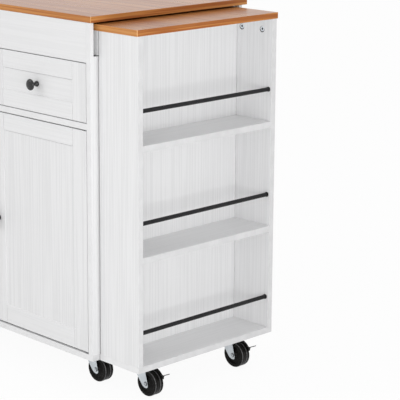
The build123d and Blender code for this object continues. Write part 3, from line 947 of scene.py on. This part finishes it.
def upright(place, across):
    """Plane of a caster's side view: X ahead, Y up, Z against the axle's direction."""
    return place @ Matrix.Translation((0, across, 0)) @ Matrix.Rotation(math.pi / 2, 4, "X")


def axle_frame(place):
    """Frame at a wheel's middle with its Z along the axle."""
    return place @ Matrix.Translation((TRAIL, 0, WHEEL_RADIUS)) @ Matrix.Rotation(-math.pi / 2, 4, "X")


class ISLAND_OT_forks(Undoable, Operator):
    """Caster forks with their axle bolts, and the plates that they swivel under"""

    bl_idname = "island.forks"
    bl_label = "Caster Forks"

    top = 0.0752
    rear = 0.025
    front = 0.018
    shoulder = 0.004
    tip = 0.0082
    tip_foot = 0.02075
    tip_round = 0.0078
    sheet_round = 0.0006
    crown_tuck = 0.0003
    crown_corner = 0.004
    kingpin = (0.005, 0.0810)
    axle_radius = 0.004
    washer = (0.0055, 0.0007)
    nut = (0.0037, 0.0026)
    nut_round = 0.0004
    bolt_end = ((0, 0.0033), (0.0016, 0.0033), (0.0013, 0.0035), (0, 0.0035))
    brake_pin = 0.002
    plate = 0.0025
    plate_round = 0.0004
    plate_corner = 0.0035
    race = (
        (0.0051, 0), (0.02, 0), (0.02, -0.0012), (0.0188, -0.0022), (0.0195, -0.0030), (0.0195, -0.0046),
        (0.0188, -0.005), (0.0051, -0.005), (0.0051, 0),
    )
    all_corners = (0, 1, 2, 3)

    def execute(self, context):
        for name in CASTERS:
            self.fork(name)
        for node in ("cabinet_caster_plates", "cart_caster_plates"):
            self.plates(node)
        return {"FINISHED"}

    def fork(self, name):
        """Two legs, a crown, a kingpin and an axle, and the brake's pin where there is a brake."""
        size = sizes()
        place = caster_frame(name)
        outer = size.fork_inner + size.fork_wall
        shape = Shape()
        brow = self.top - self.shoulder
        leg = (
            (-self.rear, self.top), (-self.rear, brow), (TRAIL - self.tip, self.tip_foot),
            (TRAIL + self.tip, self.tip_foot), (self.front, brow), (self.front, self.top),
        )
        for across in (-size.fork_inner, outer):
            plane = upright(place, across)
            shape.prism(leg, plane, size.fork_wall, self.sheet_round, 0, self.tip_round, (2, 3))
        rear, ahead, side = (reach - self.crown_tuck for reach in (self.rear, self.front, outer))
        level = place @ Matrix.Translation((0, 0, self.top - self.crown_tuck - size.fork_wall))
        crown = oblong(-rear, ahead, side)
        shape.prism(
            crown, level, size.fork_wall, self.sheet_round, 0, self.crown_corner, self.all_corners,
        )
        radius, pin_top = self.kingpin
        shape.turned(drum(radius, self.top, pin_top), place)
        axle = axle_frame(place)
        shape.turned(drum(self.axle_radius, -outer, outer), axle)
        self.bolt(shape, axle, outer)
        if "brake_" + name in JOINTS:
            pin = Matrix.Translation(JOINTS["brake_" + name]["pos_m"]) @ axle.to_3x3().to_4x4()
            shape.turned(drum(self.brake_pin, -outer, outer), pin)
        shape.stand_for("fork_" + name, ["zinc", "dark_steel"])

    def bolt(self, shape, axle, outer):
        """Washer, nut and bolt end on both sides of a fork."""
        washer_radius, washer_top = self.washer
        nut_radius, nut_height = self.nut
        turns = [i * math.pi / 3 for i in range(6)]
        hexagon = [(nut_radius * math.cos(turn), nut_radius * math.sin(turn)) for turn in turns]
        for way in (-1, 1):
            outward = Matrix.Rotation(0 if way > 0 else math.pi, 4, "X")
            head = axle @ Matrix.Translation((0, 0, way * outer)) @ outward
            seat = head @ Matrix.Translation((0, 0, washer_top))
            shape.turned(drum(washer_radius, 0, washer_top), head, 1)
            shape.prism(hexagon, seat, nut_height, self.nut_round)
            shape.turned(self.bolt_end, head, 1)

    def plates(self, node):
        shape = Shape()
        for low, high in solids(node):
            middle = (low + high) / 2
            place = Matrix.Translation((middle.x, middle.y, high.z - self.plate))
            x, y = (high.x - low.x) / 2, (high.y - low.y) / 2
            shape.prism(
                oblong(-x, x, y), place, self.plate, self.plate_round, 0, self.plate_corner,
                self.all_corners,
            )
            shape.turned(self.race, place)
        shape.stand_for(node, ["zinc"])


class ISLAND_OT_wheels(Undoable, Operator):
    """Moulded wheels: hub, dished web, rim and a grooved tread"""

    bl_idname = "island.wheels"
    bl_label = "Caster Wheels"

    hub = (
        (0.00405, 0.0006), (0.0082, 0.0006), (0.0088, 0.0002), (0.0094, -0.0012), (0.0112, -0.0032),
        (0.0200, -0.0035), (0.0220, -0.0024), (0.0232, -0.0003), (0.0240, 0.0),
    )
    tread = ((-0.0024, 0.0), (-0.0013, -0.0002), (-0.0004, -0.0009), (0.0, -0.0020))
    groove = ((0.0, 0.0050), (-0.0010, 0.0024))
    floor_gap = 0.00002
    # Painted highlight: faces near the tread's outside, on its shoulders and on one groove wall, take the grey.
    highlight_depth = 0.0012
    highlight_side = 0.0019
    highlight_groove = (0.0025, 0.0049)
    sharp = math.radians(50)

    def execute(self, context):
        half, radius = sizes().wheel_width / 2, WHEEL_RADIUS - self.floor_gap
        side = [(reach, half + out) for reach, out in self.hub]
        side += [(radius + reach, half + out) for reach, out in self.tread]
        side += [(radius + reach, out) for reach, out in self.groove]
        profile = side + [(reach, -out) for reach, out in reversed(side)]
        near, far = self.highlight_groove
        for name in CASTERS:
            shape = Shape()
            place = axle_frame(caster_frame(name))
            for face in shape.turned(profile + profile[:1], place, sharp=self.sharp):
                # Painted highlight on the shoulders and one groove wall.
                offset = place.inverted() @ face.calc_center_median()
                outside = offset.xy.length > radius - self.highlight_depth
                painted_highlight = abs(offset.z) > half - self.highlight_side or near < offset.z < far
                face.material_index = 1 if outside and painted_highlight else 0
            shape.stand_for("wheel_" + name, ["tread", "tread_edge"])
        return {"FINISHED"}


class ISLAND_OT_brakes(Undoable, Operator):
    """Brake shoes over the cart's wheels, with their foot levers"""

    bl_idname = "island.brakes"
    bl_label = "Caster Brakes"

    shoe = (0.03475, 0.03725)
    shoe_angles = (22.0, 90.0)
    shoe_steps = 16
    shoe_round = 0.0003
    toe = ((0.0360, 22.0), (0.0420, 31.0), (0.0360, 42.0))
    boss = 0.0034
    boss_bore = 0.00205
    bridge_start = 0.7
    lever = ((0.0535, 0.0522), (0.0660, 0.0586), (0.0777, 0.0638))
    lever_round = 0.0002

    def execute(self, context):
        for name in CASTERS:
            if "brake_" + name in JOINTS:
                self.brake(name)
        return {"FINISHED"}

    def brake(self, name):
        """A shoe over the tread with a toe, a boss round its pin and a lever."""
        size = sizes()
        half = size.brake_width / 2
        near, far = size.brake_offset - half, size.brake_offset + half
        place = caster_frame(name)
        axle, plane = axle_frame(place), upright(place, far)
        shape = Shape()
        inner, outer = self.shoe
        low, high = (math.radians(a) for a in self.shoe_angles)
        start = axle @ Matrix.Rotation(-low, 4, "Z")
        section = ((inner, near), (outer, near), (outer, far), (inner, far))
        shape.swept(section, start, low - high, self.shoe_steps)
        toe = [
            (TRAIL + out * math.cos(math.radians(a)), WHEEL_RADIUS + out * math.sin(math.radians(a)))
            for out, a in self.toe
        ]
        shape.prism(toe, plane, size.brake_width, self.shoe_round)
        pin = place.inverted() @ Vector(JOINTS["brake_" + name]["pos_m"])
        eye = Matrix.Translation(place @ Vector((pin.x, 0, pin.z))) @ axle.to_3x3().to_4x4()
        boss, bore = self.boss, self.boss_bore
        shape.turned(((bore, near), (boss, near), (boss, far), (bore, far), (bore, near)), eye)
        bridge = ((pin.x, pin.z - boss), (TRAIL, pin.z - boss), (TRAIL, pin.z), (pin.x, pin.z))
        bridge = [(x + boss * self.bridge_start, z) for x, z in bridge]
        shape.prism(bridge, plane, size.brake_width, self.shoe_round)
        thick = size.lever_thickness / 2
        upper = [(x, z + thick) for x, z in self.lever]
        lower = [(x, z - thick) for x, z in reversed(self.lever)]
        side = upright(place, size.brake_offset + size.lever_width / 2)
        shape.prism(lower + upper, side, size.lever_width, self.lever_round, 1)
        shape.stand_for("brake_" + name, ["black_plastic", "dark_steel"])


class ISLAND_OT_fittings(Undoable, Operator):
    """Pegs, pivot pins, bushes, catches and glides inside the island"""

    bl_idname = "island.fittings"
    bl_label = "Inner Fittings"

    bush_depth = 0.010
    bush_body = 0.0033
    bush_bore = 0.00205
    flange_share = 0.93
    flange_round = 0.0003

    def execute(self, context):
        self.bushes()
        dress("shelf_pegs", "zinc")
        for side in SIDES:
            dress(f"door_{side}_pins", "zinc")
        for node in ("door_catches", "leaf_glides"):
            dress(node, "white_plastic")
        return {"FINISHED"}

    def bushes(self):
        low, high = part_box("door_left_panel")
        shape = Shape()
        for bottom, top in solids("door_bushes"):
            middle = (bottom + top) / 2
            way = 1 if middle.z > (low.z + high.z) / 2 else -1
            flange = (top.x - bottom.x) / 2
            thick = top.z - bottom.z - self.bush_depth
            end = thick + self.bush_depth
            face = Vector((middle.x, middle.y, bottom.z if way > 0 else top.z))
            bore, body, rim = self.bush_bore, self.bush_body, flange * self.flange_share
            shape.turned(
                ((bore, 0), (rim, 0), (flange, self.flange_round), (flange, thick), (body, thick),
                 (body, end), (bore, end), (bore, 0)),
                facing(face, (0, 0, way)),
            )
        shape.stand_for("door_bushes", ["dark_steel"])


# Stage
class ISLAND_OT_stage(Undoable, Operator):
    """Pale floor, soft studio light and the camera"""

    bl_idname = "island.stage"
    bl_label = "Studio"

    camera_place = Vector((3.0532, -2.6131, 1.3863))
    heading = math.radians(46.9816)
    pitch = math.radians(12.5965)
    focal_pixels = 1597.3
    frame_pixels = 400.0
    centre = (150.0, 160.0)
    sensor = 36.0
    far_clip = 60.0
    floor_half = 9.0
    floor_tone = (0.92, 0.92, 0.92)
    floor_roughness = 0.9
    floor_glow = 0.94
    ambient = 0.725
    lamps = (
        ("softbox_front", (-1.45, -2.5, 2.3), (-0.1, 0.0, 0.45), 0.9, 0.9, 12.8),
        ("softbox_right", (2.75, -1.45, 0.66), (0.4, 0.0, 0.42), 1.8, 0.8, 30.0),
    )

    def execute(self, context):
        bpy.context.scene.view_settings.view_transform = "Standard"
        self.floor()
        self.world()
        self.lights()
        self.camera()
        return {"FINISHED"}

    def seen(self, f):
        """1 for what the camera sees, also in a reflection or through a clear surface, and 0 for the rest."""
        path = [f.node("ShaderNodeLightPath", {}, {}, out) for out in
                ("Is Camera Ray", "Is Glossy Ray", "Is Transmission Ray")]
        return f.math("MAXIMUM", f.math("MAXIMUM", path[0], path[1]), path[2])

    def floor(self):
        ground = bmesh.new()
        bmesh.ops.create_grid(ground, x_segments=1, y_segments=1, size=self.floor_half)
        mesh = bpy.data.meshes.new("studio_floor")
        ground.to_mesh(mesh)
        ground.free()
        floor = placed("studio_floor", mesh)
        f = Finish("studio_floor")
        f.coat(Base_Color=self.floor_tone, Roughness=self.floor_roughness)
        plain = Value(f, f.shader.outputs["BSDF"])
        glow = f.node("ShaderNodeEmission", {}, {"Color": (1, 1, 1), "Strength": 1.0}, "Emission")
        sockets = {"Fac": self.seen(f) * self.floor_glow, 1: plain, 2: glow}
        mixed = f.node("ShaderNodeMixShader", {}, sockets, "Shader")
        f.feed(f.tree.nodes["Material Output"], "Surface", mixed)
        mesh.materials.append(f.material)

    def world(self):
        world = bpy.data.worlds.new("studio_light")
        world.use_nodes = True
        bpy.context.scene.world = world
        f = Nodes(world.node_tree)
        ground = f.tree.nodes["Background"]
        f.feed(ground, "Color", (1, 1, 1))
        f.feed(ground, "Strength", self.seen(f) * (1.0 - self.ambient) + self.ambient)

    def lights(self):
        for name, place, aim, wide, high, power in self.lamps:
            lamp = bpy.data.lights.new(name, "AREA")
            lamp.shape = "RECTANGLE"
            lamp.size, lamp.size_y, lamp.energy = wide, high, power
            box = placed(name, lamp)
            box.location = place
            box.rotation_euler = (Vector(aim) - Vector(place)).to_track_quat("-Z", "Y").to_euler()

    def camera(self):
        lens = bpy.data.cameras.new("photo_camera")
        lens.sensor_fit, lens.sensor_width = "HORIZONTAL", self.sensor
        lens.lens = self.focal_pixels / self.frame_pixels * lens.sensor_width
        lens.shift_x = 0.5 - self.centre[0] / self.frame_pixels
        lens.shift_y = self.centre[1] / self.frame_pixels - 0.5
        lens.clip_end = self.far_clip
        camera = placed("photo_camera", lens)
        camera.location = self.camera_place
        camera.rotation_euler = (math.pi / 2 - self.pitch, 0, self.heading)
        bpy.context.scene.camera = camera


OPERATORS = (
    ISLAND_OT_tops, ISLAND_OT_carcass, ISLAND_OT_fronts, ISLAND_OT_drawers, ISLAND_OT_knobs, ISLAND_OT_cart,
    ISLAND_OT_rods, ISLAND_OT_cams, ISLAND_OT_forks, ISLAND_OT_wheels, ISLAND_OT_brakes, ISLAND_OT_fittings,
    ISLAND_OT_stage,
)


class VIEW3D_PT_island(Panel):
    """Pieces of the island, in the order in which they are made"""

    bl_idname = "VIEW3D_PT_island"
    bl_label = "Kitchen Island"
    bl_space_type = "VIEW_3D"
    bl_region_type = "UI"
    bl_category = "Island"

    def draw(self, context):
        for operator in OPERATORS:
            self.layout.operator(operator.bl_idname)
        for group in (context.scene.island_sizes, context.scene.island_finishes):
            box = self.layout.box()
            for key in group.__annotations__:
                box.prop(group, key)


CLASSES = (IslandSizes, IslandFinishes, *OPERATORS, VIEW3D_PT_island)


def register():
    """Make the island's classes and settings known to Blender."""
    for cls in CLASSES:
        bpy.utils.register_class(cls)
    bpy.types.Scene.island_sizes = PointerProperty(type=IslandSizes)
    bpy.types.Scene.island_finishes = PointerProperty(type=IslandFinishes)


def unregister():
    """Take the island's classes and settings away again."""
    del bpy.types.Scene.island_finishes
    del bpy.types.Scene.island_sizes
    for cls in reversed(CLASSES):
        bpy.utils.unregister_class(cls)


def main():
    """Build every piece in order."""
    register()
    for operator in OPERATORS:
        group, name = operator.bl_idname.split(".")
        getattr(getattr(bpy.ops, group), name)()


if __name__ == "__main__":
    main()
